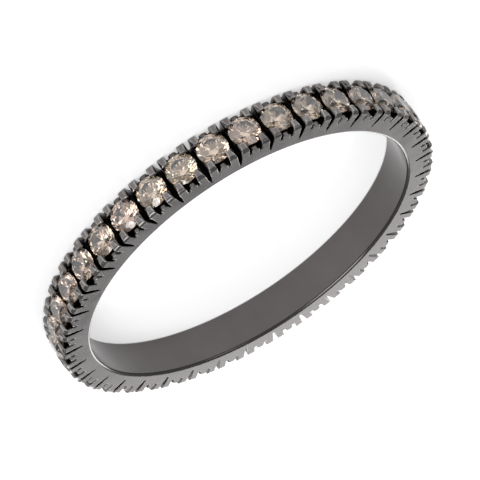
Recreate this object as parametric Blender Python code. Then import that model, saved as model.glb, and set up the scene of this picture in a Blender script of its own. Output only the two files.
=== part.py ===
"""Full eternity stacking ring: a dark metal band set with round brilliants all the way round.

The ring lies on one side face. Its bore axis is +Z, and z = 0 is the face that it rests on.
One pitch of the band, the stretch that holds one stone, is cut from a turned blank. It is then
repeated round the axis and welded into one solid. In that pitch +X is the radial direction
through the stone, Y runs along the band, and z = 0 is the middle of the band's width. A level
is a distance from the bore axis.
"""

import math

import bmesh
import bpy
from mathutils import Matrix, Vector

MM = 0.001

# Stones: their number and the gap between two girdles give their diameter
STONE_COUNT = 37
STONE_SPACING = 0.1736 * MM
GIRDLE_THICKNESS = 0.045 * MM
TABLE_SHARE = 0.57
STAR_SHARE = 0.5
LOWER_HALF_SHARE = 0.77
CROWN_ANGLE = math.radians(34.5)
PAVILION_ANGLE = math.radians(40.75)
FIRST_STONE_AZIMUTH = math.radians(-90)

# Band
BORE_DIAMETER = 17.0 * MM
RAIL_THICKNESS = 0.42 * MM
METAL_UNDER_CULET = 0.18 * MM
SIDE_WALL = 0.26 * MM
BORE_EDGE_BEVEL = 0.14 * MM
SHOULDER_RADIUS = 0.18 * MM

# Prongs, and the cuts that leave them standing
SLOT_WIDTH = 0.20 * MM
SLOT_FLOOR_WIDTH = 0.09 * MM
SLOT_TAPER = 0.50 * MM
SLOT_LIP_WIDTH = 0.46 * MM
SLOT_LIP_DEPTH = 0.24 * MM
CHANNEL_WIDTH = 1.00 * MM
CHANNEL_BELOW_GIRDLE = 0.16 * MM
PRONG_OVERLAP = 0.12 * MM
TABLE_ABOVE_PRONGS = 0.04 * MM
STONE_CLEARANCE = 0.03 * MM

# Tongue under each stone at both side faces, with a groove on either side of it
TONGUE_WIDTH = 0.40 * MM
TONGUE_THICKNESS = 0.20 * MM
TONGUE_BELOW_GIRDLE = 0.08 * MM
TONGUE_CROWN = 0.10 * MM
GROOVE_WIDTH = 0.12 * MM
GROOVE_FLOOR_RISE = 0.42 * MM
WINDOW_BELOW_GIRDLE = 0.36 * MM

# Materials
METAL_COLOUR = (0.16, 0.155, 0.15)
METAL_ROUGHNESS = 0.22
STONE_COLOUR = (0.62, 0.50, 0.42)
STONE_ROUGHNESS = 0.02
STONE_REFRACTION = 2.42
STONE_TRANSMISSION = 0.6

# Fineness of the faceted solids
BRILLIANT_FOLDS = 8
BORE_FACETS_PER_PITCH = 2
SHOULDER_STEPS = 2
TONGUE_STEPS = 3
CUT_MARGIN = 0.5 * MM
WELD_DISTANCE = 0.0001 * MM
FLAT_ANGLE = math.radians(0.2)
SHARP_ANGLE = math.radians(30)

# Sizes, levels and counts that follow
BORE_RADIUS = BORE_DIAMETER / 2
SLOT_FLOOR = BORE_RADIUS + RAIL_THICKNESS
GROOVE_FLOOR = SLOT_FLOOR + GROOVE_FLOOR_RISE
CULET_LEVEL = SLOT_FLOOR + METAL_UNDER_CULET
PITCH_ANGLE = 2 * math.pi / STONE_COUNT
GIRDLE_GROWTH = PITCH_ANGLE * math.tan(PAVILION_ANGLE) / 2
STONE_DIAMETER = (PITCH_ANGLE * CULET_LEVEL - STONE_SPACING) / (1 - GIRDLE_GROWTH)
STONE_RADIUS = STONE_DIAMETER / 2
HALF_WIDTH = STONE_RADIUS + SIDE_WALL
TABLE_RADIUS = STONE_RADIUS * TABLE_SHARE
PAVILION_DEPTH = STONE_RADIUS * math.tan(PAVILION_ANGLE)
CROWN_HEIGHT = (STONE_RADIUS - TABLE_RADIUS) * math.tan(CROWN_ANGLE)
GIRDLE_LEVEL = CULET_LEVEL + PAVILION_DEPTH
GIRDLE_TOP = GIRDLE_LEVEL + GIRDLE_THICKNESS
TABLE_LEVEL = GIRDLE_TOP + CROWN_HEIGHT
PRONG_TOP = TABLE_LEVEL - TABLE_ABOVE_PRONGS
TONGUE_TOP = GIRDLE_LEVEL - TONGUE_BELOW_GIRDLE
CHANNEL_FLOOR = GIRDLE_LEVEL - CHANNEL_BELOW_GIRDLE
WINDOW_FLOOR = GIRDLE_LEVEL - WINDOW_BELOW_GIRDLE
CUT_TOP = TABLE_LEVEL + CUT_MARGIN
GIRDLE_SIDES = 2 * BRILLIANT_FOLDS


def clear_scene():
    """Remove every object, so that the script can be run again in the same file."""
    for thing in list(bpy.data.objects):
        bpy.data.objects.remove(thing, do_unlink=True)


def make_material(name, colour, settings):
    """Make a Principled material from a colour and the other values to set, by input name."""
    material = bpy.data.materials.new(name)
    material.use_nodes = True
    shader = material.node_tree.nodes["Principled BSDF"]
    shader.inputs["Base Color"].default_value = (*colour, 1)
    for setting, value in settings.items():
        shader.inputs[setting].default_value = value
    material.diffuse_color = (*colour, 1)
    return material


def add_object(name, content, parent=None):
    """Put a mesh, or None for an empty, into the scene as a named object."""
    thing = bpy.data.objects.new(name, content)
    bpy.context.scene.collection.objects.link(thing)
    thing.parent = parent
    return thing


def mesh_from(name, shape):
    """Turn a bmesh into a mesh with its faces pointing out."""
    bmesh.ops.recalc_face_normals(shape, faces=shape.faces)
    mesh = bpy.data.meshes.new(name)
    shape.to_mesh(mesh)
    shape.free()
    return mesh


def join_rings(shape, first, second):
    """Bridge two rings of the same number of vertices with quads."""
    for index, vertex in enumerate(first):
        after = (index + 1) % len(first)
        shape.faces.new((vertex, first[after], second[after], second[index]))


def cap_ring(shape, ring, height):
    """Close a ring with triangles that meet at a point on local +Z."""
    tip = shape.verts.new((0, 0, height))
    for index, vertex in enumerate(ring):
        shape.faces.new((vertex, ring[(index + 1) % len(ring)], tip))


def polar(radius, half_folds, height):
    """Point at a radius and a height, a number of half facets round local +Z."""
    angle = math.pi * half_folds / BRILLIANT_FOLDS
    return (radius * math.cos(angle), radius * math.sin(angle), height)


def arc_pairs(centre, radius, start, end, steps):
    """Points on an arc about centre, from angle start to angle end, both ends included."""
    first, second = centre
    angles = [start + (end - start) * step / steps for step in range(steps + 1)]
    return [(first + radius * math.cos(angle), second + radius * math.sin(angle)) for angle in angles]


def band_outline():
    """Section of the uncut band as (across, level): bevelled bore edges and round shoulders."""
    bore_edge = [(HALF_WIDTH - BORE_EDGE_BEVEL, BORE_RADIUS), (HALF_WIDTH, BORE_RADIUS + BORE_EDGE_BEVEL)]
    centre = (HALF_WIDTH - SHOULDER_RADIUS, PRONG_TOP - SHOULDER_RADIUS)
    right = bore_edge + arc_pairs(centre, SHOULDER_RADIUS, 0, math.pi / 2, SHOULDER_STEPS)
    left = [(-across, level) for across, level in reversed(right)]
    return right + left


def pitch_blank():
    """Turn the section through one pitch, centred on the stone's radial direction."""
    shape = bmesh.new()
    rings = []
    for step in range(BORE_FACETS_PER_PITCH + 1):
        angle = PITCH_ANGLE * (step / BORE_FACETS_PER_PITCH - 0.5)
        radial = Vector((math.cos(angle), math.sin(angle), 0))
        turned = [level * radial + Vector((0, 0, across)) for across, level in band_outline()]
        rings.append([shape.verts.new(point) for point in turned])
    for near, far in zip(rings, rings[1:]):
        join_rings(shape, near, far)
    shape.faces.new(rings[0])
    shape.faces.new(rings[-1])
    return add_object("pitch_blank", mesh_from("pitch_blank", shape))


def prism_cutter(name, outline, low, high):
    """Cutter with an outline of (along the band, level), from low to high across the band."""
    shape = bmesh.new()
    near = [shape.verts.new((level, along, low)) for along, level in outline]
    far = [shape.verts.new((level, along, high)) for along, level in outline]
    shape.faces.new(near)
    shape.faces.new(far)
    join_rings(shape, near, far)
    return add_object(name, mesh_from(name, shape))


def open_cutter(name, half_length, floor, half_across):
    """Box cutter that is open upward from its floor."""
    outline = [(-half_length, floor), (half_length, floor), (half_length, CUT_TOP), (-half_length, CUT_TOP)]
    return prism_cutter(name, outline, -half_across, half_across)


def slot_cutters():
    """Slots across the band, between this stone and its neighbours, with narrow floors and open lips."""
    half = SLOT_WIDTH / 2
    lip = SLOT_LIP_WIDTH / 2
    right = [
        (SLOT_FLOOR_WIDTH / 2, SLOT_FLOOR),
        (half, SLOT_FLOOR + SLOT_TAPER),
        (half, PRONG_TOP - SLOT_LIP_DEPTH),
        (lip, PRONG_TOP),
        (lip, CUT_TOP),
    ]
    outline = right + [(-along, level) for along, level in reversed(right)]
    reach = HALF_WIDTH + CUT_MARGIN
    cutters = []
    for side in (-1, 1):
        cutter = prism_cutter(f"slot_cutter_{side:+d}", outline, -reach, reach)
        cutter.rotation_euler.z = side * PITCH_ANGLE / 2
        cutters.append(cutter)
    return cutters


def channel_cutter():
    """Gap along the band that parts the two prongs on either side of a slot."""
    return open_cutter("channel_cutter", GIRDLE_LEVEL * PITCH_ANGLE, CHANNEL_FLOOR, CHANNEL_WIDTH / 2)


def window_cutters():
    """Opening across the band under the stone: low in the middle, and over the tongues at the sides."""
    half = TONGUE_WIDTH / 2
    outer = half + GROOVE_WIDTH
    middle = open_cutter("window_cutter", outer, WINDOW_FLOOR, HALF_WIDTH - TONGUE_THICKNESS)
    radius = (half ** 2 + TONGUE_CROWN ** 2) / (2 * TONGUE_CROWN)
    start = math.acos(-half / radius)
    crown = arc_pairs((0, TONGUE_TOP - radius), radius, start, math.pi - start, TONGUE_STEPS)
    edge = TONGUE_TOP - TONGUE_CROWN
    outline = [(-outer, edge), *crown, (outer, edge), (outer, CUT_TOP), (-outer, CUT_TOP)]
    reach = HALF_WIDTH + CUT_MARGIN
    return [middle, prism_cutter("tongue_top_cutter", outline, -reach, reach)]


def groove_cutters():
    """Grooves on either side of the tongues, from each side face to the opening behind them."""
    inner = TONGUE_WIDTH / 2
    outer = inner + GROOVE_WIDTH
    cutters = []
    for side in (-1, 1):
        low = side * (HALF_WIDTH - TONGUE_THICKNESS)
        high = side * (HALF_WIDTH + CUT_MARGIN)
        for end in (-1, 1):
            edges = [(end * inner, GROOVE_FLOOR), (end * outer, GROOVE_FLOOR)]
            outline = [*edges, (end * outer, TONGUE_TOP), (end * inner, TONGUE_TOP)]
            cutters.append(prism_cutter(f"groove_cutter_{side:+d}_{end:+d}", outline, low, high))
    return cutters


def seat_ring(shape, radius, height):
    """Ring about local +Z with one flat side, at a radius, for each main facet of the stone."""
    corner_radius = radius / math.cos(math.pi / BRILLIANT_FOLDS)
    corners = [polar(corner_radius, half_folds, height) for half_folds in range(1, GIRDLE_SIDES, 2)]
    return [shape.verts.new(corner) for corner in corners]


def seat_cutter():
    """Seat with the stone's main facets moved out by the clearance, open upward between the prong tips."""
    pavilion_rise = STONE_CLEARANCE / math.cos(PAVILION_ANGLE)
    crown_rise = STONE_CLEARANCE / math.cos(CROWN_ANGLE)
    radius = STONE_RADIUS + STONE_CLEARANCE
    mouth_radius = STONE_RADIUS - PRONG_OVERLAP
    profile = [
        (radius, GIRDLE_LEVEL - pavilion_rise + STONE_CLEARANCE * math.tan(PAVILION_ANGLE)),
        (radius, GIRDLE_TOP + crown_rise - STONE_CLEARANCE * math.tan(CROWN_ANGLE)),
        (mouth_radius, GIRDLE_TOP + crown_rise + PRONG_OVERLAP * math.tan(CROWN_ANGLE)),
        (mouth_radius, CUT_TOP),
    ]
    shape = bmesh.new()
    rings = [seat_ring(shape, ring_radius, level) for ring_radius, level in profile]
    for near, far in zip(rings, rings[1:]):
        join_rings(shape, near, far)
    cap_ring(shape, rings[0], CULET_LEVEL - pavilion_rise)
    cap_ring(shape, rings[-1], CUT_TOP)
    cutter = add_object("seat_cutter", mesh_from("seat_cutter", shape))
    cutter.rotation_euler.y = math.pi / 2
    return cutter


def cut(blank, cutters):
    """Subtract every cutter from the blank, and return the mesh that is left."""
    for cutter in cutters:
        cutter.hide_render = True
        cutter.display_type = "WIRE"
        modifier = blank.modifiers.new(cutter.name, "BOOLEAN")
        modifier.operation = "DIFFERENCE"
        modifier.solver = "EXACT"
        modifier.object = cutter
    graph = bpy.context.evaluated_depsgraph_get()
    finished = bpy.data.meshes.new_from_object(blank.evaluated_get(graph))
    for thing in [blank, *cutters]:
        bpy.data.objects.remove(thing, do_unlink=True)
    return finished


def open_ends(shape):
    """Delete the two end faces of a pitch, where it joins its neighbours."""
    for side in (-1, 1):
        normal = Matrix.Rotation(side * PITCH_ANGLE / 2, 3, "Z") @ Vector((0, 1, 0))
        ends = [
            face for face in shape.faces
            if all(abs(vertex.co.dot(normal)) < WELD_DISTANCE for vertex in face.verts)
        ]
        bmesh.ops.delete(shape, geom=ends, context="FACES")


def turn_about_axis(shape, verts, angle):
    """Turn vertices about the bore axis."""
    bmesh.ops.rotate(shape, cent=(0, 0, 0), matrix=Matrix.Rotation(angle, 3, "Z"), verts=verts)


def build_band(centre, material):
    """Cut one pitch, repeat it round the axis and weld the copies into one solid."""
    cutters = [*slot_cutters(), channel_cutter(), *window_cutters(), *groove_cutters(), seat_cutter()]
    pitch = cut(pitch_blank(), cutters)
    shape = bmesh.new()
    shape.from_mesh(pitch)
    bmesh.ops.remove_doubles(shape, verts=shape.verts, dist=WELD_DISTANCE)
    open_ends(shape)
    bmesh.ops.dissolve_limit(shape, angle_limit=FLAT_ANGLE, verts=shape.verts, edges=shape.edges)
    turn_about_axis(shape, shape.verts, FIRST_STONE_AZIMUTH)
    first_pitch = shape.verts[:] + shape.edges[:] + shape.faces[:]
    for index in range(1, STONE_COUNT):
        copied = bmesh.ops.duplicate(shape, geom=first_pitch)["geom"]
        verts = [item for item in copied if isinstance(item, bmesh.types.BMVert)]
        turn_about_axis(shape, verts, index * PITCH_ANGLE)
    bmesh.ops.remove_doubles(shape, verts=shape.verts, dist=WELD_DISTANCE)
    bmesh.ops.triangulate(shape, faces=shape.faces)
    mesh = mesh_from("band", shape)
    mesh.materials.append(material)
    mesh.shade_smooth()
    mesh.set_sharp_from_angle(angle=SHARP_ANGLE)
    add_object("band", mesh, centre)


def brilliant_mesh(material):
    """Round brilliant about local +Z, with z = 0 at the lower edge of its girdle."""
    half_fold = math.cos(math.pi / BRILLIANT_FOLDS)
    table_edge = TABLE_RADIUS * half_fold
    table_height = GIRDLE_THICKNESS + CROWN_HEIGHT
    star_radius = table_edge + STAR_SHARE * (STONE_RADIUS - table_edge)
    star_height = table_height - (star_radius * half_fold - TABLE_RADIUS) * math.tan(CROWN_ANGLE)
    half_radius = STONE_RADIUS * (1 - LOWER_HALF_SHARE)
    half_height = half_radius * half_fold * math.tan(PAVILION_ANGLE) - PAVILION_DEPTH

    shape = bmesh.new()
    even = range(0, GIRDLE_SIDES, 2)
    odd = range(1, GIRDLE_SIDES, 2)
    table = [shape.verts.new(polar(TABLE_RADIUS, place, table_height)) for place in even]
    stars = [shape.verts.new(polar(star_radius, place, star_height)) for place in odd]
    upper = [shape.verts.new(polar(STONE_RADIUS, place, GIRDLE_THICKNESS)) for place in range(GIRDLE_SIDES)]
    lower = [shape.verts.new(polar(STONE_RADIUS, place, 0)) for place in range(GIRDLE_SIDES)]
    halves = [shape.verts.new(polar(half_radius, place, half_height)) for place in odd]
    culet = shape.verts.new((0, 0, -PAVILION_DEPTH))

    shape.faces.new(table)
    join_rings(shape, upper, lower)
    for fold in range(BRILLIANT_FOLDS):
        corner = 2 * fold
        middle = corner + 1
        next_corner = (corner + 2) % GIRDLE_SIDES
        shape.faces.new((table[fold], stars[fold], upper[corner], stars[fold - 1]))
        shape.faces.new((table[fold], table[(fold + 1) % BRILLIANT_FOLDS], stars[fold]))
        shape.faces.new((stars[fold], upper[middle], upper[corner]))
        shape.faces.new((stars[fold], upper[next_corner], upper[middle]))
        shape.faces.new((culet, halves[fold - 1], lower[corner], halves[fold]))
        shape.faces.new((halves[fold], lower[corner], lower[middle]))
        shape.faces.new((halves[fold], lower[middle], lower[next_corner]))
    mesh = mesh_from("round_brilliant", shape)
    mesh.materials.append(material)
    return mesh


def build_stones(centre, material):
    """Set one brilliant in each pitch, with its table facing away from the bore axis."""
    mesh = brilliant_mesh(material)
    for index in range(STONE_COUNT):
        azimuth = FIRST_STONE_AZIMUTH + index * PITCH_ANGLE
        stone = add_object(f"stone_{index + 1:02d}", mesh, centre)
        stone.location = (GIRDLE_LEVEL * math.cos(azimuth), GIRDLE_LEVEL * math.sin(azimuth), 0)
        stone.rotation_euler = (0, math.pi / 2, azimuth)


def main():
    """Model the ring about its centre: the band first, then its stones."""
    clear_scene()
    centre = add_object("ring_centre", None)
    centre.location.z = HALF_WIDTH
    metal_settings = {"Metallic": 1, "Roughness": METAL_ROUGHNESS}
    stone_settings = {
        "Roughness": STONE_ROUGHNESS,
        "IOR": STONE_REFRACTION,
        "Transmission Weight": STONE_TRANSMISSION,
    }
    build_band(centre, make_material("dark_metal", METAL_COLOUR, metal_settings))
    build_stones(centre, make_material("champagne_stone", STONE_COLOUR, stone_settings))


main()
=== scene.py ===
"""Looks of a full eternity stacking ring in dark metal, set with champagne round brilliants.

The ring lies on one side face, with its bore axis along +Z and z = 0 on that face. The metal is
cut pitch by pitch, a pitch being the stretch of band that holds one stone, and the stones are
faceted by plane cuts. Both are modelled in millimetres round the ring's centre, then brought to
metres and put on the frame. In a pitch +X is the radial direction through the stone, Y runs along
the band, and z = 0 is the middle of its width. A level is a distance from the bore axis.
"""

from __future__ import annotations

import logging
import math
import random
from collections.abc import Iterable, Mapping, Sequence
from dataclasses import dataclass, field
from enum import Enum
from typing import Any, Union

import bmesh
import bpy
from mathutils import Matrix, Vector


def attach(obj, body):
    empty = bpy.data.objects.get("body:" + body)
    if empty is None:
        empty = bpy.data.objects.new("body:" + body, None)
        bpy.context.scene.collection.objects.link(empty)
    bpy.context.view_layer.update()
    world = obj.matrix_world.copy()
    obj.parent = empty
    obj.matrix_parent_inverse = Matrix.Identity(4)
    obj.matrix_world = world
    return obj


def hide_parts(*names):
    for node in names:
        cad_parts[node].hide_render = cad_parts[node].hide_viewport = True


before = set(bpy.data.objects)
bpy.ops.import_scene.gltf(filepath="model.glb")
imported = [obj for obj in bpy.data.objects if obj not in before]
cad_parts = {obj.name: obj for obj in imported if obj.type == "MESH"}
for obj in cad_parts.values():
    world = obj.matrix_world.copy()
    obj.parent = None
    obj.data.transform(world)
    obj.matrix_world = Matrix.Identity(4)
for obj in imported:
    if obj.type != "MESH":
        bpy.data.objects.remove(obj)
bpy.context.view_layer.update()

MM = 0.001
FIRST_STONE_AZIMUTH = math.radians(-90)
MID_PITCH = 0.5

# Tolerances in millimetres: for welding, for cutting by a plane, and for the outer surface
WELD_DISTANCE = 0.0001
PLANE_TOLERANCE = 1e-6
SKIN_TOLERANCE = 0.006

# Angles between two faces: merged under the first, and rounded over the others
FLAT_ANGLE = math.radians(0.2)
RIM_ANGLE = math.radians(20)
SHARP_ANGLE = math.radians(32)

# Lips of the cuts: their turn in degrees, its steps, and the straight run after it, in radii
LIP_TURN = 60
LIP_STEPS = 5
LIP_RUN = 0.5

# Face attributes: a facet's kind, and the three that the finishes read
FACET_KIND = "kind"
# Rounded rims are painted lighter, for plating rubbed through and as painted highlight
RIM_WEAR_AND_HIGHLIGHT = "rim_wear"
# Each facet's painted light and shade, from shadow to flash
PAINTED_FACET_LIGHT = "facet_tone"
STONE_TINT = "stone_tint"

# Places of a Mix node's sockets when it mixes colours, and values that the shaders share
MIX_FACTOR, MIX_FIRST, MIX_SECOND = 0, 6, 7
MIX_RESULT = 2
NOISE_MEAN = 0.5
OPAQUE = 1.0

Colour = tuple[float, float, float]
Pair = tuple[float, float]
VertexRing = Sequence[bmesh.types.BMVert]

log = logging.getLogger("stackable_ring")


# Shader graph


class Channel:
    """Output socket of a shader node. Arithmetic on it adds Math nodes to its graph."""

    def __init__(self, graph: ShaderGraph, socket: bpy.types.NodeSocket) -> None:
        """Keep the socket and the graph that it belongs to."""
        self.graph = graph
        self.socket = socket

    def math(self, operation: str, *operands: Operand) -> Channel:
        """Value of a Math node with an operation, fed with its operands in order."""
        values = dict(enumerate(operands))
        return self.graph.add("ShaderNodeMath", {"operation": operation}, values)["Value"]

    def __add__(self, other: Operand) -> Channel:
        """Sum of this and another value."""
        return self.math("ADD", self, other)

    def __radd__(self, other: Operand) -> Channel:
        """Sum of another value and this."""
        return self.math("ADD", other, self)

    def __sub__(self, other: Operand) -> Channel:
        """This less another value."""
        return self.math("SUBTRACT", self, other)

    def __rsub__(self, other: Operand) -> Channel:
        """Another value less this."""
        return self.math("SUBTRACT", other, self)

    def __mul__(self, other: Operand) -> Channel:
        """Product of this and another value."""
        return self.math("MULTIPLY", self, other)

    def __rmul__(self, other: Operand) -> Channel:
        """Product of another value and this."""
        return self.math("MULTIPLY", other, self)

    def root(self) -> Channel:
        """Square root of this."""
        return self.math("SQRT", self)

    def size(self) -> Channel:
        """Size of this, without its sign."""
        return self.math("ABSOLUTE", self)

    def most(self, other: Operand) -> Channel:
        """Greater of this and another value."""
        return self.math("MAXIMUM", self, other)

    def smooth_step(self, low: float, high: float) -> Channel:
        """Ease from 0 where this is low to 1 where it is high.

        Args:
            low: Value at which the result leaves 0.
            high: Value at which the result reaches 1.

        Returns:
            The eased value.
        """
        settings = {"interpolation_type": "SMOOTHSTEP"}
        sockets = {"Value": self, "From Min": low, "From Max": high}
        return self.graph.add("ShaderNodeMapRange", settings, sockets)["Result"]


Operand = Union[Channel, float]
SocketValue = Union[Channel, float, Sequence[float]]


class AddedNode:
    """A node that was added to a graph. Indexing it gives one of its outputs."""

    def __init__(self, graph: ShaderGraph, node: bpy.types.Node) -> None:
        """Keep the node and the graph that it belongs to."""
        self.graph = graph
        self.node = node

    def __getitem__(self, output: Union[str, int]) -> Channel:
        """Output of that name or place."""
        return Channel(self.graph, self.node.outputs[output])


class ShaderGraph:
    """Node tree of one material."""

    def __init__(self, name: str) -> None:
        """Make an empty material.

        Args:
            name: The material's name.
        """
        self.material = bpy.data.materials.new(name)
        self.material.use_nodes = True
        self.material.node_tree.nodes.clear()

    def add(
        self,
        kind: str,
        settings: Mapping[str, Any] | None = None,
        sockets: Mapping[Union[str, int], SocketValue] | None = None,
    ) -> AddedNode:
        """Add a node of any kind.

        Args:
            kind: Type of the node.
            settings: The node's own settings, set first. The entry "stops" fills a colour ramp.
            sockets: Values or channels for its inputs, by name or place.

        Returns:
            The new node.
        """
        node = self.material.node_tree.nodes.new(kind)
        for name, value in (settings or {}).items():
            if name == "stops":
                self._fill_ramp(node.color_ramp, value)
            else:
                setattr(node, name, value)
        for name, value in (sockets or {}).items():
            self._feed(node.inputs[name], value)
        return AddedNode(self, node)

    def noise(self, position: Channel, cell: float, detail: float) -> Channel:
        """Noise at a position, with blotches of a size in metres and some finer layers."""
        sockets = {"Vector": position, "Scale": 1 / cell, "Detail": detail}
        return self.add("ShaderNodeTexNoise", None, sockets)["Fac"]

    def mix(
        self, share: Operand, first: SocketValue, second: SocketValue, blend: str = "MIX"
    ) -> Channel:
        """Mix two colours.

        Args:
            share: Weight of the second colour, from 0 to 1.
            first: Colour where the share is 0.
            second: Colour where the share is 1.
            blend: Name of the Mix node's blend type.

        Returns:
            The mixed colour.
        """
        settings = {"data_type": "RGBA", "blend_type": blend}
        sockets = {MIX_FACTOR: share, MIX_FIRST: first, MIX_SECOND: second}
        return self.add("ShaderNodeMix", settings, sockets)[MIX_RESULT]

    def finish(self, shader: Channel) -> bpy.types.Material:
        """Finished material, with a shader on its surface."""
        self.add("ShaderNodeOutputMaterial", None, {"Surface": shader})
        return self.material

    def _feed(self, socket: bpy.types.NodeSocket, value: SocketValue) -> None:
        """Link a channel to a socket, or set a plain value on it.

        Args:
            socket: The input to feed.
            value: What it gets.
        """
        if isinstance(value, Channel):
            self.material.node_tree.links.new(value.socket, socket)
        elif socket.type == "RGBA":
            socket.default_value = (*value, OPAQUE)
        else:
            socket.default_value = value

    @staticmethod
    def _fill_ramp(ramp: bpy.types.ColorRamp, stops: Sequence[tuple[float, Colour]]) -> None:
        """Give a colour ramp its stops.

        Args:
            ramp: The ramp to fill.
            stops: A position and a colour for each stop, in order.
        """
        while len(ramp.elements) < len(stops):
            ramp.elements.new(1.0)
        for element, (position, colour) in zip(ramp.elements, stops):
            element.position = position
            element.color = (*colour, OPAQUE)


# Sizes, in millimetres


@dataclass(frozen=True)
class StoneSizes:
    """Sizes of one round brilliant, measured from the lower edge of its girdle."""

    diameter: float = 1.48
    girdle: float = 0.045
    table_share: float = 0.57
    star_share: float = 0.5
    lower_half_share: float = 0.77
    crown_angle: float = math.radians(34.5)
    pavilion_angle: float = math.radians(40.75)
    folds: int = 8

    @property
    def radius(self) -> float:
        """Radius of the girdle."""
        return self.diameter / 2

    @property
    def table_radius(self) -> float:
        """Radius of the table's corners."""
        return self.radius * self.table_share

    @property
    def crown_height(self) -> float:
        """Height of the table over the girdle."""
        return (self.radius - self.table_radius) * math.tan(self.crown_angle)

    @property
    def depth(self) -> float:
        """Depth of the culet under the girdle."""
        return self.radius * math.tan(self.pavilion_angle)


@dataclass(frozen=True)
class BandSizes:
    """Sizes of the band, as in the part, and of the finer shapes that only the looks have."""

    stone: StoneSizes = field(default_factory=StoneSizes)
    stone_count: int = 37
    bore_radius: float = 8.5
    rail_thickness: float = 0.42
    metal_under_culet: float = 0.18
    side_wall: float = 0.26
    bore_edge_radius: float = 0.14
    shoulder_radius: float = 0.18
    slot_width: float = 0.20
    slot_floor_width: float = 0.09
    slot_taper: float = 0.50
    channel_width: float = 1.00
    channel_below_girdle: float = 0.16
    channel_corner: float = 0.15
    prong_overlap: float = 0.12
    table_above_prongs: float = 0.04
    seat_clearance: float = 0.018
    tongue_width: float = 0.40
    tongue_thickness: float = 0.20
    tongue_below_girdle: float = 0.08
    tongue_crown: float = 0.10
    groove_width: float = 0.12
    groove_floor_rise: float = 0.42
    window_below_girdle: float = 0.36
    window_overlap: float = 0.02
    slot_lip_radius: float = 0.22
    prong_lip_radius: float = 0.14
    rim_rounding: float = 0.035
    edge_rounding: float = 0.014
    cut_margin: float = 0.5

    @property
    def half_width(self) -> float:
        """Half of the band's width."""
        return self.stone.radius + self.side_wall

    @property
    def slot_floor(self) -> float:
        """Level of the slots' floors."""
        return self.bore_radius + self.rail_thickness

    @property
    def culet_level(self) -> float:
        """Level of the stones' points."""
        return self.slot_floor + self.metal_under_culet

    @property
    def girdle_level(self) -> float:
        """Level of the lower edge of the stones' girdles."""
        return self.culet_level + self.stone.depth

    @property
    def girdle_top(self) -> float:
        """Level of the upper edge of the stones' girdles."""
        return self.girdle_level + self.stone.girdle

    @property
    def prong_top(self) -> float:
        """Level of the prong tips."""
        return self.girdle_top + self.stone.crown_height - self.table_above_prongs

    @property
    def cut_top(self) -> float:
        """Level that every cutter reaches, clear of the metal."""
        return self.prong_top + self.cut_margin

    @property
    def pitch(self) -> float:
        """Angle of one pitch."""
        return 2 * math.pi / self.stone_count


# Mesh tools


def arc(centre: Pair, radius: float, start: float, end: float, steps: int) -> list[Pair]:
    """Points on an arc.

    Args:
        centre: Centre of the arc.
        radius: Its radius.
        start: Angle of the first point, in degrees.
        end: Angle of the last point, in degrees.
        steps: Number of equal steps between them.

    Returns:
        The points, both ends included.
    """
    turns = [math.radians(start + (end - start) * step / steps) for step in range(steps + 1)]
    place, level = centre
    return [(place + radius * math.cos(turn), level + radius * math.sin(turn)) for turn in turns]


def mirrored(half: Sequence[Pair]) -> list[Pair]:
    """Whole outline from its right half, which runs from bottom to top."""
    return [*half, *((-across, level) for across, level in reversed(half))]


def flared_wall(place: float, top: float, radius: float, clear: float) -> list[Pair]:
    """Upper end of a cutter's right wall, which opens out in an arc as it meets the surface.

    Args:
        place: How far out the wall stands.
        top: Level of the surface.
        radius: Radius of the arc.
        clear: Level that the cutter reaches above the surface.

    Returns:
        The points from the start of the arc to the top of the cutter.
    """
    lean = math.radians(LIP_TURN)
    centre = (place + radius, top - radius * math.sin(lean))
    points = arc(centre, radius, 180, 180 - LIP_TURN, LIP_STEPS)
    last_place, last_level = points[-1]
    run = radius * LIP_RUN
    end = last_place + run * math.sin(lean)
    return [*points, (end, last_level + run * math.cos(lean)), (end, clear)]


def join_rings(shape: bmesh.types.BMesh, first: VertexRing, second: VertexRing) -> None:
    """Bridge two rings of the same number of vertices with quads.

    Args:
        shape: The shape that the vertices belong to.
        first: Vertices of one ring, in order.
        second: Vertices of the other ring, in the same order.
    """
    for index, vertex in enumerate(first):
        after = (index + 1) % len(first)
        shape.faces.new((vertex, first[after], second[after], second[index]))


def new_object(name: str, shape: bmesh.types.BMesh) -> bpy.types.Object:
    """Put a shape into the scene as an object, with its faces pointing out.

    Args:
        name: Name of the object and its mesh.
        shape: The shape, which is used up.

    Returns:
        The new object.
    """
    bmesh.ops.recalc_face_normals(shape, faces=shape.faces)
    if shape.calc_volume(signed=True) < 0:
        bmesh.ops.reverse_faces(shape, faces=shape.faces)
    mesh = bpy.data.meshes.new(name)
    shape.to_mesh(mesh)
    shape.free()
    thing = bpy.data.objects.new(name, mesh)
    bpy.context.scene.collection.objects.link(thing)
    return thing


def prism(
    name: str, outline: Sequence[Pair], low: float, high: float, across: bool = True
) -> bpy.types.Object:
    """Cutter with an outline drawn in a pitch.

    Args:
        name: Name of the cutter.
        outline: Points of (place, level), where the place is along the band, or across it.
        low: Where the cutter begins in the other direction.
        high: Where the cutter ends in the other direction.
        across: Whether the cutter runs across the band, or else along it.

    Returns:
        The cutter.
    """
    shape = bmesh.new()
    rings = []
    for reach in (low, high):
        if across:
            points = [(level, place, reach) for place, level in outline]
        else:
            points = [(level, reach, place) for place, level in outline]
        rings.append([shape.verts.new(point) for point in points])
    join_rings(shape, *rings)
    for ring in rings:
        shape.faces.new(ring)
    return new_object(name, shape)


def evaluated_mesh(thing: bpy.types.Object) -> bpy.types.Mesh:
    """Mesh of an object with its modifiers applied."""
    graph = bpy.context.evaluated_depsgraph_get()
    return bpy.data.meshes.new_from_object(thing.evaluated_get(graph))


def discard(things: Iterable[bpy.types.Object]) -> None:
    """Remove objects that were only needed to shape others."""
    for thing in things:
        bpy.data.objects.remove(thing, do_unlink=True)


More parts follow.
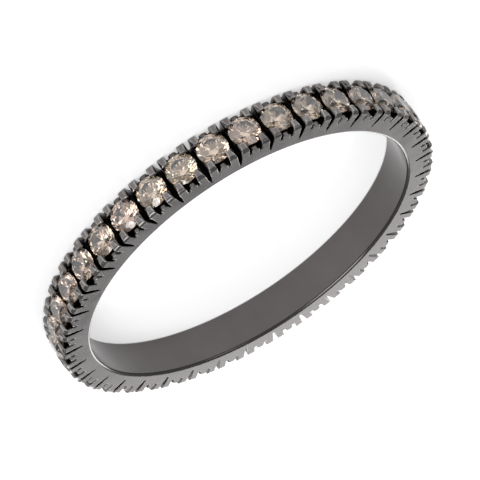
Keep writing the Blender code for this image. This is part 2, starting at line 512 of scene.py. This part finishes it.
def place_on_frame(thing: bpy.types.Object, node: str, half_width: float) -> None:
    """Bring a piece from millimetres round the ring's centre onto the frame.

    Args:
        thing: The piece.
        node: CAD node that it takes the place of.
        half_width: Half of the band's width, in millimetres.
    """
    lift = Matrix.Translation((0, 0, half_width * MM))
    thing.data.transform(lift @ Matrix.Scale(MM, 4) @ thing.matrix_world)
    thing.matrix_world = Matrix.Identity(4)
    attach(thing, "root")
    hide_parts(node)


# Finishes


@dataclass(frozen=True)
class MetalFinish:
    """Polished dark grey plating, with painted shade near black in the cuts between and under the
    stones, and rims and prong tips painted lighter for plating rubbed through and as painted
    highlight.

    Each pair of distances is in millimetres, and says where a mask leaves 0 and reaches 1.
    """

    name: str = "dark_metal_polished"
    bright: Colour = (0.128, 0.119, 0.118)
    # Lighter colour on rims and prong tips: plating rubbed through, and painted highlight
    worn_and_highlight: Colour = (0.42, 0.405, 0.39)
    # Painted shade: near black laid on the metal far down in the slots, grooves and hollows
    painted_shade: Colour = (0.020, 0.019, 0.019)
    tint: Colour = (0.50, 0.47, 0.44)
    tint_share: float = 0.30
    # Prong tips are painted lighter, for rubbed plating and as painted highlight
    tip_wear_and_highlight: float = 0.3
    wear_and_highlight_clouds: Pair = (0.15, 0.60)
    metallic: float = 1.0
    roughness: float = 0.18
    roughness_in_cuts: float = 0.22
    polish_spread: float = 0.12
    cloud_cell: float = 1.1 * MM
    cloud_detail: float = 3.0
    grain_cell: float = 0.07 * MM
    grain_detail: float = 2.0
    grain_height: float = 0.0004 * MM
    grain_strength: float = 0.5
    tips_under_top: Pair = (0.40, 0.08)
    slots_past_wall: Pair = (0.003, 0.045)
    slots_under_side: Pair = (0.03, 0.30)
    slots_under_top: Pair = (0.15, 0.40)
    grooves_under_side: Pair = (0.06, 0.20)
    grooves_under_top: Pair = (0.45, 0.60)
    hollows_under_side: Pair = (0.14, 0.30)
    hollows_under_top: Pair = (0.20, 0.40)
    rail_under_slots: Pair = (0.06, 0.01)

    def material(self, sizes: BandSizes) -> bpy.types.Material:
        """Build the metal's material.

        Args:
            sizes: The band's sizes, which say where its cuts lie.

        Returns:
            The material.
        """
        graph = ShaderGraph(self.name)
        position = graph.add("ShaderNodeTexCoord")["Object"]
        cloud = graph.noise(position, self.cloud_cell, self.cloud_detail)
        grain = graph.noise(position, self.grain_cell, self.grain_detail)
        place = graph.add("ShaderNodeSeparateXYZ", None, {"Vector": position})
        level = (place["X"] * place["X"] + place["Y"] * place["Y"]).root()
        # Painted shade: the base colour goes near black far down in the cuts
        cuts = self._painted_shade_in_cuts(place, level, sizes)
        # Rims and prong tips are painted lighter, for rubbed plating and as painted highlight
        rims = graph.add("ShaderNodeAttribute", {"attribute_name": RIM_WEAR_AND_HIGHLIGHT})["Fac"]
        tips = self._fade(level, self._down_from(sizes.prong_top, self.tips_under_top))
        wear_and_highlight = rims.most(tips * self.tip_wear_and_highlight) * cloud.smooth_step(*self.wear_and_highlight_clouds)
        plated_with_highlight = graph.mix(wear_and_highlight * (1 - cuts), self.bright, self.worn_and_highlight)
        clouded = graph.mix(cloud * self.tint_share, plated_with_highlight, self.tint, "MULTIPLY")
        polish = self.roughness + (cloud - NOISE_MEAN) * self.polish_spread
        bump = {"Strength": self.grain_strength, "Distance": self.grain_height, "Height": grain}
        sockets = {
            "Base Color": graph.mix(cuts, clouded, self.painted_shade),
            "Roughness": polish + cuts * self.roughness_in_cuts,
            "Metallic": self.metallic,
            "Normal": graph.add("ShaderNodeBump", None, bump)["Normal"],
        }
        return graph.finish(graph.add("ShaderNodeBsdfPrincipled", None, sockets)["BSDF"])

    @staticmethod
    def _down_from(level: float, depths: Pair) -> Pair:
        """Levels that lie some depths under a level."""
        return level - depths[0], level - depths[1]

    @staticmethod
    def _fade(distance: Channel, reach: Pair) -> Channel:
        """Mask that eases from 0 to 1 over a reach of a distance, the reach in millimetres."""
        return distance.smooth_step(reach[0] * MM, reach[1] * MM)

    def _painted_shade_in_cuts(self, place: AddedNode, level: Channel, sizes: BandSizes) -> Channel:
        """Mask of painted shade on the metal inside the cuts, from its depth under the uncut band's
        surface.

        Args:
            place: Node that gives the position on the metal by axis, in metres.
            level: Distance from the bore axis, in metres.
            sizes: The band's sizes.

        Returns:
            The painted shade mask, 0 on the outer surfaces and 1 far down in the cuts.
        """
        half_width = sizes.half_width * MM
        under_side = half_width - (place["Z"] - half_width).size()
        under_top = sizes.prong_top * MM - level
        turn = place["Y"].math("ARCTAN2", place["Y"], place["X"]) - FIRST_STONE_AZIMUTH
        pitches = turn * (1 / sizes.pitch)
        from_slot = (pitches.math("FRACT", pitches) - MID_PITCH).size() * level * sizes.pitch

        def inside(side_reach: Pair, top_reach: Pair) -> Channel:
            """Mask of what lies under both the side faces and the prong tips."""
            return self._fade(under_side, side_reach) * self._fade(under_top, top_reach)

        near, far = (sizes.slot_width / 2 + past for past in self.slots_past_wall)
        slots = 1 - self._fade(from_slot, (near, far))
        slots = slots * inside(self.slots_under_side, self.slots_under_top)
        grooves = inside(self.grooves_under_side, self.grooves_under_top)
        hollows = inside(self.hollows_under_side, self.hollows_under_top)
        above_rail = self._fade(level, self._down_from(sizes.slot_floor, self.rail_under_slots))
        return slots.most(grooves.most(hollows)) * above_rail


@dataclass(frozen=True)
class StoneFinish:
    """Clear champagne gem whose facets each get a painted tone of light and shade, from shadow to
    flash.
    """

    name: str = "champagne_brilliant"
    # Ramp of painted light and shade on the facets, from shadow to flash
    shadow: Colour = (0.33, 0.25, 0.185)
    body: Colour = (0.71, 0.58, 0.48)
    flash: Colour = (0.97, 0.875, 0.785)
    rosy: Colour = (1.0, 0.85, 0.80)
    smoky: Colour = (0.87, 0.82, 0.69)
    tint_share: float = 1.0
    body_tone: float = 0.5
    roughness: float = 0.03
    refraction: float = 2.2
    transmission: float = 1.0
    fleck_cell: float = 0.12 * MM
    fleck_detail: float = 2.0
    fleck_spread: float = 0.1

    def material(self) -> bpy.types.Material:
        """Build the stones' material.

        Returns:
            The material.
        """
        graph = ShaderGraph(self.name)
        position = graph.add("ShaderNodeTexCoord")["Object"]
        # Painted light and shade: each facet's tone picks a colour from shadow to flash
        tone = graph.add("ShaderNodeAttribute", {"attribute_name": PAINTED_FACET_LIGHT})["Fac"]
        tint = graph.add("ShaderNodeAttribute", {"attribute_name": STONE_TINT})["Fac"]
        flecks = graph.noise(position, self.fleck_cell, self.fleck_detail)
        flecked = tone + (flecks - NOISE_MEAN) * self.fleck_spread
        ramp = {"stops": ((0, self.shadow), (self.body_tone, self.body), (1, self.flash))}
        tones = graph.add("ShaderNodeValToRGB", ramp, {"Fac": flecked})["Color"]
        tints = graph.mix(tint, self.rosy, self.smoky)
        sockets = {
            "Base Color": graph.mix(self.tint_share, tones, tints, "MULTIPLY"),
            "Roughness": self.roughness,
            "IOR": self.refraction,
            "Transmission Weight": self.transmission,
        }
        return graph.finish(graph.add("ShaderNodeBsdfPrincipled", None, sockets)["BSDF"])


@dataclass(frozen=True)
class FloorFinish:
    """Smooth white board with a faint glow of its own, so that it stays pale near the ring."""

    name: str = "pale_floor"
    colour: Colour = (0.86, 0.86, 0.86)
    shade: Colour = (0.84, 0.84, 0.845)
    roughness: float = 0.28
    specular: float = 0.3
    glow: float = 0.60
    cloud_cell: float = 40 * MM
    cloud_detail: float = 2.0

    def material(self) -> bpy.types.Material:
        """Build the floor's material.

        Returns:
            The material.
        """
        graph = ShaderGraph(self.name)
        position = graph.add("ShaderNodeTexCoord")["Object"]
        cloud = graph.noise(position, self.cloud_cell, self.cloud_detail)
        colour = graph.mix(cloud, self.colour, self.shade)
        sockets = {
            "Base Color": colour,
            "Roughness": self.roughness,
            "Specular IOR Level": self.specular,
            "Emission Color": colour,
            "Emission Strength": self.glow,
        }
        return graph.finish(graph.add("ShaderNodeBsdfPrincipled", None, sockets)["BSDF"])


# Band


@dataclass
class Band:
    """The cast metal: rail, slots, tongues, seats and prongs in one piece."""

    sizes: BandSizes
    finish: MetalFinish
    turning_steps: int = 6
    bore_edge_steps: int = 4
    shoulder_steps: int = 7
    floor_steps: int = 4
    crown_steps: int = 5
    groove_steps: int = 6
    seat_sides: int = 48
    bevel_segments: int = 2
    bevel_profile: float = 0.5
    # How much the rounds are painted lighter, for rubbed plating and as painted highlight
    rim_wear: float = 1.0
    edge_wear_and_highlight: float = 0.5

    def build(self) -> bpy.types.Object:
        """Cut one pitch, repeat it round the axis, round its edges and dress it.

        Returns:
            The finished piece.
        """
        ring = self._repeat(self._cut_pitch())
        self._round_edges(ring)
        band = new_object("band_metal", ring)
        band.data.shade_smooth()
        band.data.normals_split_custom_set_from_vertices(self._vertex_normals(band.data))
        band.data.materials.append(self.finish.material(self.sizes))
        place_on_frame(band, "band", self.sizes.half_width)
        return band

    def _outline(self) -> list[Pair]:
        """Draw the section of the uncut band, with rounded bore edges and shoulders.

        Returns:
            Its points as (across, level), up its right half and down its left one.
        """
        sizes = self.sizes
        edge = sizes.bore_edge_radius
        edge_centre = (sizes.half_width - edge, sizes.bore_radius + edge)
        shoulder = sizes.shoulder_radius
        shoulder_centre = (sizes.half_width - shoulder, sizes.prong_top - shoulder)
        bore_edge = arc(edge_centre, edge, -90, 0, self.bore_edge_steps)
        return mirrored([*bore_edge, *arc(shoulder_centre, shoulder, 0, 90, self.shoulder_steps)])

    def _blank(self) -> bpy.types.Object:
        """Turn the section through one pitch, centred on the stone's radial direction.

        Returns:
            The uncut metal of one pitch.
        """
        shape = bmesh.new()
        outline = self._outline()
        rings = []
        for step in range(self.turning_steps + 1):
            angle = self.sizes.pitch * (step / self.turning_steps - MID_PITCH)
            radial = Vector((math.cos(angle), math.sin(angle), 0))
            points = [level * radial + Vector((0, 0, across)) for across, level in outline]
            rings.append([shape.verts.new(point) for point in points])
        for near, far in zip(rings, rings[1:]):
            join_rings(shape, near, far)
        shape.faces.new(rings[0])
        shape.faces.new(rings[-1])
        return new_object("pitch_blank", shape)

    def _slots(self) -> list[bpy.types.Object]:
        """Make the cuts on either side of the stone, with narrow round floors and open lips.

        Returns:
            The two cutters.
        """
        sizes = self.sizes
        floor_half = sizes.slot_floor_width / 2
        half = sizes.slot_width / 2
        floor_centre = (0, sizes.slot_floor + floor_half)
        floor = arc(floor_centre, floor_half, 270, 360, self.floor_steps)
        wall = flared_wall(half, sizes.prong_top, sizes.slot_lip_radius, sizes.cut_top)
        wall.insert(0, (half, sizes.slot_floor + sizes.slot_taper))
        outline = mirrored([*floor[1:], *wall])
        reach = sizes.half_width + sizes.cut_margin
        cutters = []
        for side in (-1, 1):
            cutter = prism(f"slot_cutter_{side:+d}", outline, -reach, reach)
            cutter.rotation_euler.z = side * sizes.pitch / 2
            cutters.append(cutter)
        return cutters

    def _channel(self) -> bpy.types.Object:
        """Make the gap along the band that parts the two prongs on either side of a slot.

        Returns:
            The cutter.
        """
        sizes = self.sizes
        half = sizes.channel_width / 2
        corner = sizes.channel_corner
        floor = sizes.girdle_level - sizes.channel_below_girdle
        bottom = arc((half - corner, floor + corner), corner, 270, 360, self.floor_steps)
        wall = flared_wall(half, sizes.prong_top, sizes.prong_lip_radius, sizes.cut_top)
        reach = sizes.girdle_level * sizes.pitch
        return prism("channel_cutter", mirrored([*bottom, *wall]), -reach, reach, across=False)

    def _windows(self) -> list[bpy.types.Object]:
        """Make the openings under the stone: one between the tongues, and one over and beside each.

        Returns:
            The three cutters.
        """
        sizes = self.sizes
        half = sizes.tongue_width / 2
        outer = half + sizes.groove_width
        wall = flared_wall(outer, sizes.prong_top, sizes.prong_lip_radius, sizes.cut_top)
        back = sizes.half_width - sizes.tongue_thickness
        middle_floor = sizes.girdle_level - sizes.window_below_girdle
        middle = prism("window_cutter", mirrored([(outer, middle_floor), *wall]), -back, back)
        top = sizes.girdle_level - sizes.tongue_below_girdle
        crown_radius = (half**2 + sizes.tongue_crown**2) / (2 * sizes.tongue_crown)
        spread = math.degrees(math.asin(half / crown_radius))
        crown = arc((0, top - crown_radius), crown_radius, 90, 90 - spread, self.crown_steps)
        groove = sizes.groove_width / 2
        groove_centre = (half + groove, sizes.slot_floor + sizes.groove_floor_rise + groove)
        bottom = arc(groove_centre, groove, 180, 360, self.groove_steps)
        outline = [(0, top), *mirrored([*crown[1:], *bottom, *wall])]
        near = back - sizes.window_overlap
        reach = sizes.half_width + sizes.cut_margin
        left = prism("tongue_cutter_-1", outline, -reach, -near)
        right = prism("tongue_cutter_+1", outline, near, reach)
        return [middle, left, right]

    def _seat(self) -> bpy.types.Object:
        """Turn the seat to the stone's outline with a clearance, open upward between the prongs.

        Returns:
            The cutter.
        """
        sizes = self.sizes
        stone = sizes.stone
        gap = sizes.seat_clearance
        under = gap / math.cos(stone.pavilion_angle)
        over = gap / math.cos(stone.crown_angle)
        radius = stone.radius + gap
        mouth = stone.radius - sizes.prong_overlap
        profile = [
            (radius, sizes.girdle_level - under + gap * math.tan(stone.pavilion_angle)),
            (radius, sizes.girdle_top + over - gap * math.tan(stone.crown_angle)),
            (mouth, sizes.girdle_top + over + sizes.prong_overlap * math.tan(stone.crown_angle)),
            (mouth, sizes.cut_top),
        ]
        turns = [2 * math.pi * side / self.seat_sides for side in range(self.seat_sides)]
        circle = [(math.cos(turn), math.sin(turn)) for turn in turns]
        shape = bmesh.new()
        rings = []
        for size, level in profile:
            points = [(level, size * along, size * across) for along, across in circle]
            rings.append([shape.verts.new(point) for point in points])
        for near, far in zip(rings, rings[1:]):
            join_rings(shape, near, far)
        shape.faces.new(rings[-1])
        tip = shape.verts.new((sizes.culet_level - under, 0, 0))
        for index, vertex in enumerate(rings[0]):
            shape.faces.new((vertex, rings[0][(index + 1) % self.seat_sides], tip))
        return new_object("seat_cutter", shape)

    def _cut_pitch(self) -> bmesh.types.BMesh:
        """Subtract every cutter from the blank, and open the ends where the neighbours join.

        Returns:
            The metal of one pitch.
        """
        blank = self._blank()
        cutters = [*self._slots(), self._channel(), *self._windows(), self._seat()]
        for cutter in cutters:
            difference = blank.modifiers.new(cutter.name, "BOOLEAN")
            difference.operation = "DIFFERENCE"
            difference.solver = "EXACT"
            difference.object = cutter
        pitch = bmesh.new()
        pitch.from_mesh(evaluated_mesh(blank))
        discard([blank, *cutters])
        bmesh.ops.remove_doubles(pitch, verts=pitch.verts, dist=WELD_DISTANCE)
        for side in (-1, 1):
            normal = Matrix.Rotation(side * self.sizes.pitch / 2, 3, "Z") @ Vector((0, 1, 0))
            ends = [
                face for face in pitch.faces
                if all(abs(vertex.co.dot(normal)) < WELD_DISTANCE for vertex in face.verts)
            ]
            bmesh.ops.delete(pitch, geom=ends, context="FACES")
        bmesh.ops.dissolve_limit(
            pitch, angle_limit=FLAT_ANGLE, verts=pitch.verts, edges=pitch.edges
        )
        return pitch

    def _repeat(self, pitch: bmesh.types.BMesh) -> bmesh.types.BMesh:
        """Repeat one pitch round the axis and weld the copies.

        Args:
            pitch: The metal of one pitch, which grows into the whole band.

        Returns:
            The whole band.
        """
        around = Matrix.Rotation(FIRST_STONE_AZIMUTH, 3, "Z")
        bmesh.ops.rotate(pitch, matrix=around, verts=pitch.verts)
        first = pitch.verts[:] + pitch.edges[:] + pitch.faces[:]
        for index in range(1, self.sizes.stone_count):
            copied = bmesh.ops.duplicate(pitch, geom=first)["geom"]
            verts = [item for item in copied if isinstance(item, bmesh.types.BMVert)]
            around = Matrix.Rotation(index * self.sizes.pitch, 3, "Z")
            bmesh.ops.rotate(pitch, matrix=around, verts=verts)
        bmesh.ops.remove_doubles(pitch, verts=pitch.verts, dist=WELD_DISTANCE)
        bmesh.ops.recalc_face_normals(pitch, faces=pitch.faces)
        return pitch

    def _on_skin(self, face: bmesh.types.BMFace) -> bool:
        """Tell whether a face is part of the uncut band's outer surface, above the rail.

        Args:
            face: A face of the band.

        Returns:
            Whether all its vertices lie on that surface.
        """
        sizes = self.sizes
        shoulder = sizes.shoulder_radius
        for vertex in face.verts:
            level = math.hypot(vertex.co.x, vertex.co.y)
            across = abs(vertex.co.z)
            out = across - (sizes.half_width - shoulder)
            up = level - (sizes.prong_top - shoulder)
            inset = shoulder - (math.hypot(out, up) if out > 0 and up > 0 else max(out, up))
            if inset > SKIN_TOLERANCE:
                return False
        return True

    def _round_edges(self, ring: bmesh.types.BMesh) -> None:
        """Round the rims where cuts meet the outer surface, then the sharp edges inside the cuts.

        Args:
            ring: The whole band.
        """
        ring.faces.layers.float.new(RIM_WEAR_AND_HIGHLIGHT)
        skin = {face for face in ring.faces if self._on_skin(face)}
        rims = [edge for edge in ring.edges if len(skin.intersection(edge.link_faces)) == 1]
        rims = [edge for edge in rims if edge.calc_face_angle(0) > RIM_ANGLE]
        self._bevel(ring, rims, self.sizes.rim_rounding, self.rim_wear)
        sharp = [edge for edge in ring.edges if edge.calc_face_angle(0) > SHARP_ANGLE]
        self._bevel(ring, sharp, self.sizes.edge_rounding, self.edge_wear_and_highlight)

    @staticmethod
    def _vertex_normals(mesh: bpy.types.Mesh) -> list[Vector]:
        """Find a normal for each vertex, led by its largest face, so that flat faces shade flat.

        Args:
            mesh: The band's mesh.

        Returns:
            The normals, in the order of the vertices.
        """
        sums = [Vector() for _ in mesh.vertices]
        for face in mesh.polygons:
            share = face.normal * face.area**2
            for vertex in face.vertices:
                sums[vertex] += share
        return [total.normalized() for total in sums]

    def _bevel(
        self, ring: bmesh.types.BMesh, edges: list[bmesh.types.BMEdge], width: float, wear_and_highlight: float
    ) -> None:
        """Bevel some edges to a round, and mark the round to be painted lighter, for plating rubbed
        through and as painted highlight.

        Args:
            ring: The whole band.
            edges: Its edges to bevel.
            width: Width that the round takes from each face.
            wear_and_highlight: How far the round is painted lighter, for plating rubbed through and
                as painted highlight, from 0 to 1.
        """
        made = bmesh.ops.bevel(
            ring,
            geom=edges,
            offset=width,
            segments=self.bevel_segments,
            profile=self.bevel_profile,
            affect="EDGES",
        )
        # The rounds are painted lighter: rubbed plating and painted highlight
        layer = ring.faces.layers.float[RIM_WEAR_AND_HIGHLIGHT]
        for face in made["faces"]:
            face[layer] = wear_and_highlight


# Stones


class Facet(Enum):
    """Kinds of facet, each with the range of painted tones of light and shade, from shadow to
    flash, that it shows.
    """

    TABLE = (0.62, 0.85)
    STAR = (0.35, 1.00)
    BEZEL = (0.30, 0.95)
    UPPER_HALF = (0.05, 0.90)
    GIRDLE = (0.25, 0.35)
    LOWER_HALF = (0.00, 1.00)
    MAIN = (0.10, 0.95)


@dataclass
class StoneRow:
    """The round brilliants, one in each pitch, with their tables facing away from the bore axis."""

    sizes: BandSizes
    finish: StoneFinish
    girdle_sides: int = 64
    rod_length: float = 4.0
    seed: int = 20

    def build(self) -> list[bpy.types.Object]:
        """Facet and dress every stone.

        Returns:
            The finished stones, in order round the ring.
        """
        material = self.finish.material()
        draw = random.Random(self.seed)
        pattern = self._brilliant()
        upright = Matrix.Rotation(math.pi / 2, 4, "Y")
        outward = Matrix.Translation((self.sizes.girdle_level, 0, 0)) @ upright
        stones = []
        for index in range(self.sizes.stone_count):
            name = f"brilliant_{index + 1:02d}"
            mesh = pattern.copy()
            mesh.name = name
            self._paint(mesh, draw)
            mesh.materials.append(material)
            stone = bpy.data.objects.new(name, mesh)
            bpy.context.scene.collection.objects.link(stone)
            around = Matrix.Rotation(FIRST_STONE_AZIMUTH + index * self.sizes.pitch, 4, "Z")
            stone.matrix_world = around @ outward
            bpy.context.view_layer.update()
            node = f"stone_{index + 1:02d}"
            place_on_frame(stone, node, self.sizes.half_width)
            stones.append(stone)
        bpy.data.meshes.remove(pattern)
        return stones

    def _planes(self) -> list[tuple[Facet, tuple[Vector, Vector, Vector]]]:
        """Lay out every facet as its kind and three points of its plane.

        Returns:
            The facets, in the order in which they are cut.
        """
        stone = self.sizes.stone
        half_fold = math.cos(math.pi / stone.folds)
        table_height = stone.girdle + stone.crown_height
        table_edge = stone.table_radius * half_fold
        star_radius = table_edge + stone.star_share * (stone.radius - table_edge)
        star_drop = (star_radius * half_fold - stone.table_radius) * math.tan(stone.crown_angle)
        half_radius = stone.radius * (1 - stone.lower_half_share)
        half_height = half_radius * half_fold * math.tan(stone.pavilion_angle) - stone.depth

        def at(radius: float, place: float, height: float) -> Vector:
            """Point at a radius and a height, a number of half folds round the axis."""
            turn = math.pi * place / stone.folds
            return Vector((radius * math.cos(turn), radius * math.sin(turn), height))

        corners = (0, stone.folds / 2, stone.folds)
        table = tuple(at(stone.table_radius, corner, table_height) for corner in corners)
        facets = [(Facet.TABLE, table)]
        culet = Vector((0, 0, -stone.depth))
        for corner in range(0, 2 * stone.folds, 2):
            tip = at(stone.table_radius, corner, table_height)
            next_tip = at(stone.table_radius, corner + 2, table_height)
            star = at(star_radius, corner + 1, table_height - star_drop)
            star_before = at(star_radius, corner - 1, table_height - star_drop)
            half = at(half_radius, corner + 1, half_height)
            half_before = at(half_radius, corner - 1, half_height)
            facets.append((Facet.BEZEL, (tip, star, star_before)))
            facets.append((Facet.STAR, (tip, next_tip, star)))
            facets.append((Facet.MAIN, (culet, half, half_before)))
            for near in (corner, corner + 1):
                upper = [at(stone.radius, near + step, stone.girdle) for step in (0, 1)]
                lower = [at(stone.radius, near + step, 0) for step in (0, 1)]
                facets.append((Facet.UPPER_HALF, (star, *upper)))
                facets.append((Facet.LOWER_HALF, (half, *lower)))
        return facets

    def _brilliant(self) -> bpy.types.Mesh:
        """Cut a brilliant from a round rod, one plane for each facet.

        Returns:
            The mesh, about local +Z, with z = 0 at the lower edge of its girdle. A face attribute
            holds the place of each facet's kind in the Enum.
        """
        stone = self.sizes.stone
        kinds = list(Facet)
        shape = bmesh.new()
        bmesh.ops.create_cone(
            shape,
            cap_ends=True,
            segments=self.girdle_sides,
            radius1=stone.radius,
            radius2=stone.radius,
            depth=self.rod_length,
        )
        mark = shape.faces.layers.int.new(FACET_KIND)
        for face in shape.faces:
            face[mark] = kinds.index(Facet.GIRDLE)
        centre = Vector((0, 0, stone.girdle / 2))
        for kind, (first, second, third) in self._planes():
            normal = (second - first).cross(third - first).normalized()
            if normal.dot(first - centre) < 0:
                normal.negate()
            bmesh.ops.bisect_plane(
                shape,
                geom=shape.verts[:] + shape.edges[:] + shape.faces[:],
                dist=PLANE_TOLERANCE,
                plane_co=first,
                plane_no=normal,
                clear_outer=True,
            )
            rim = [edge for edge in shape.edges if edge.is_boundary]
            for face in bmesh.ops.contextual_create(shape, geom=rim)["faces"]:
                face[mark] = kinds.index(kind)
        bmesh.ops.recalc_face_normals(shape, faces=shape.faces)
        mesh = bpy.data.meshes.new("round_brilliant")
        shape.to_mesh(mesh)
        shape.free()
        return mesh

    @staticmethod
    def _paint(mesh: bpy.types.Mesh, draw: random.Random) -> None:
        """Give a stone its own tint, and each of its facets a painted tone of light and shade.

        Args:
            mesh: The stone's mesh.
            draw: Source of the random draws.
        """
        kinds = list(Facet)
        marks = [entry.value for entry in mesh.attributes[FACET_KIND].data]
        # Painted light and shade: a tone for each facet, within its kind's range
        tones = [draw.uniform(*kinds[mark].value) for mark in marks]
        tints = [draw.random()] * len(tones)
        mesh.attributes.new(PAINTED_FACET_LIGHT, "FLOAT", "FACE").data.foreach_set("value", tones)
        mesh.attributes.new(STONE_TINT, "FLOAT", "FACE").data.foreach_set("value", tints)


# Studio


@dataclass(frozen=True)
class Softbox:
    """A large flat lamp aimed at the ring's centre, with sizes in degrees, metres and watts."""

    name: str
    azimuth: float
    elevation: float
    distance: float
    width: float
    height: float
    power: float
    colour: Colour = (1.0, 1.0, 1.0)


@dataclass
class Studio:
    """Pale floor, soft lamps, pale surroundings and the camera."""

    floor: FloorFinish
    centre: Vector
    softboxes: tuple[Softbox, ...] = (
        Softbox(
            name="softbox_back",
            azimuth=90,
            elevation=10.5,
            distance=0.45,
            width=0.55,
            height=0.195,
            power=1.25,
        ),
        Softbox(
            name="softbox_key",
            azimuth=312,
            elevation=46,
            distance=0.50,
            width=0.34,
            height=0.34,
            power=1.1,
        ),
        Softbox(
            name="softbox_fill",
            azimuth=215,
            elevation=38,
            distance=0.50,
            width=0.20,
            height=0.20,
            power=0.12,
        ),
    )
    surroundings: Colour = (0.95, 0.95, 0.96)
    surroundings_strength: float = 0.36
    floor_reach: float = 3.0
    floor_tiles: int = 8
    camera_elevation: float = math.radians(24.489)
    camera_roll: float = math.radians(214.105)
    camera_azimuth: float = math.radians(-2.37)
    camera_distance: float = 0.2019
    focal_length: float = 327.7
    clip_start: float = 0.001

    def build(self) -> None:
        """Lay the floor, hang the lamps and set up the camera."""
        self._lay_floor()
        for softbox in self.softboxes:
            self._hang(softbox)
        self._surround()
        self._set_camera()

    def _lay_floor(self) -> None:
        """Lay the floor under the ring."""
        shape = bmesh.new()
        bmesh.ops.create_grid(
            shape, x_segments=self.floor_tiles, y_segments=self.floor_tiles, size=self.floor_reach
        )
        floor = new_object("floor", shape)
        floor.data.materials.append(self.floor.material())

    def _hang(self, softbox: Softbox) -> None:
        """Hang one lamp.

        Args:
            softbox: The lamp's place, size and power.
        """
        lamp = bpy.data.lights.new(softbox.name, "AREA")
        lamp.shape = "RECTANGLE"
        lamp.size = softbox.width
        lamp.size_y = softbox.height
        lamp.energy = softbox.power
        lamp.color = softbox.colour
        holder = bpy.data.objects.new(softbox.name, lamp)
        bpy.context.scene.collection.objects.link(holder)
        azimuth = math.radians(softbox.azimuth)
        elevation = math.radians(softbox.elevation)
        flat = math.cos(elevation)
        toward = Vector((flat * math.cos(azimuth), flat * math.sin(azimuth), math.sin(elevation)))
        holder.location = self.centre + toward * softbox.distance
        holder.rotation_euler = toward.to_track_quat("Z", "Y").to_euler()

    def _surround(self) -> None:
        """Give the world its even pale light."""
        world = bpy.data.worlds.new("surroundings")
        world.use_nodes = True
        background = world.node_tree.nodes["Background"]
        background.inputs["Color"].default_value = (*self.surroundings, OPAQUE)
        background.inputs["Strength"].default_value = self.surroundings_strength
        bpy.context.scene.world = world
        bpy.context.scene.view_settings.view_transform = "Standard"

    def _set_camera(self) -> None:
        """Stand the camera at the photograph's angle and roll, aimed at the ring's centre."""
        up, along = math.sin(self.camera_elevation), math.cos(self.camera_elevation)
        sine, cosine = math.sin(self.camera_roll), math.cos(self.camera_roll)
        forward = Vector((0, along, -up))
        level = Vector((1, 0, 0))
        upward = Vector((0, up, along))
        right = cosine * level - sine * upward
        above = sine * level + cosine * upward
        turn = Matrix.Rotation(self.camera_azimuth, 4, "Z")
        facing = turn @ Matrix((right, above, -forward)).transposed().to_4x4()
        place = turn @ (-forward * self.camera_distance) + self.centre
        lens = bpy.data.cameras.new("camera")
        lens.lens = self.focal_length
        lens.clip_start = self.clip_start
        camera = bpy.data.objects.new("camera", lens)
        camera.matrix_world = Matrix.Translation(place) @ facing
        bpy.context.scene.collection.objects.link(camera)
        bpy.context.scene.camera = camera


def main() -> None:
    """Build the band, its stones and the studio, in that order."""
    logging.basicConfig(level=logging.INFO, format="%(message)s")
    sizes = BandSizes()
    band = Band(sizes, MetalFinish()).build()
    log.info("%s: %d faces", band.name, len(band.data.polygons))
    for stone in StoneRow(sizes, StoneFinish()).build():
        log.info("%s: %d faces", stone.name, len(stone.data.polygons))
    Studio(FloorFinish(), Vector((0, 0, sizes.half_width * MM))).build()


if __name__ == "__main__":
    main()
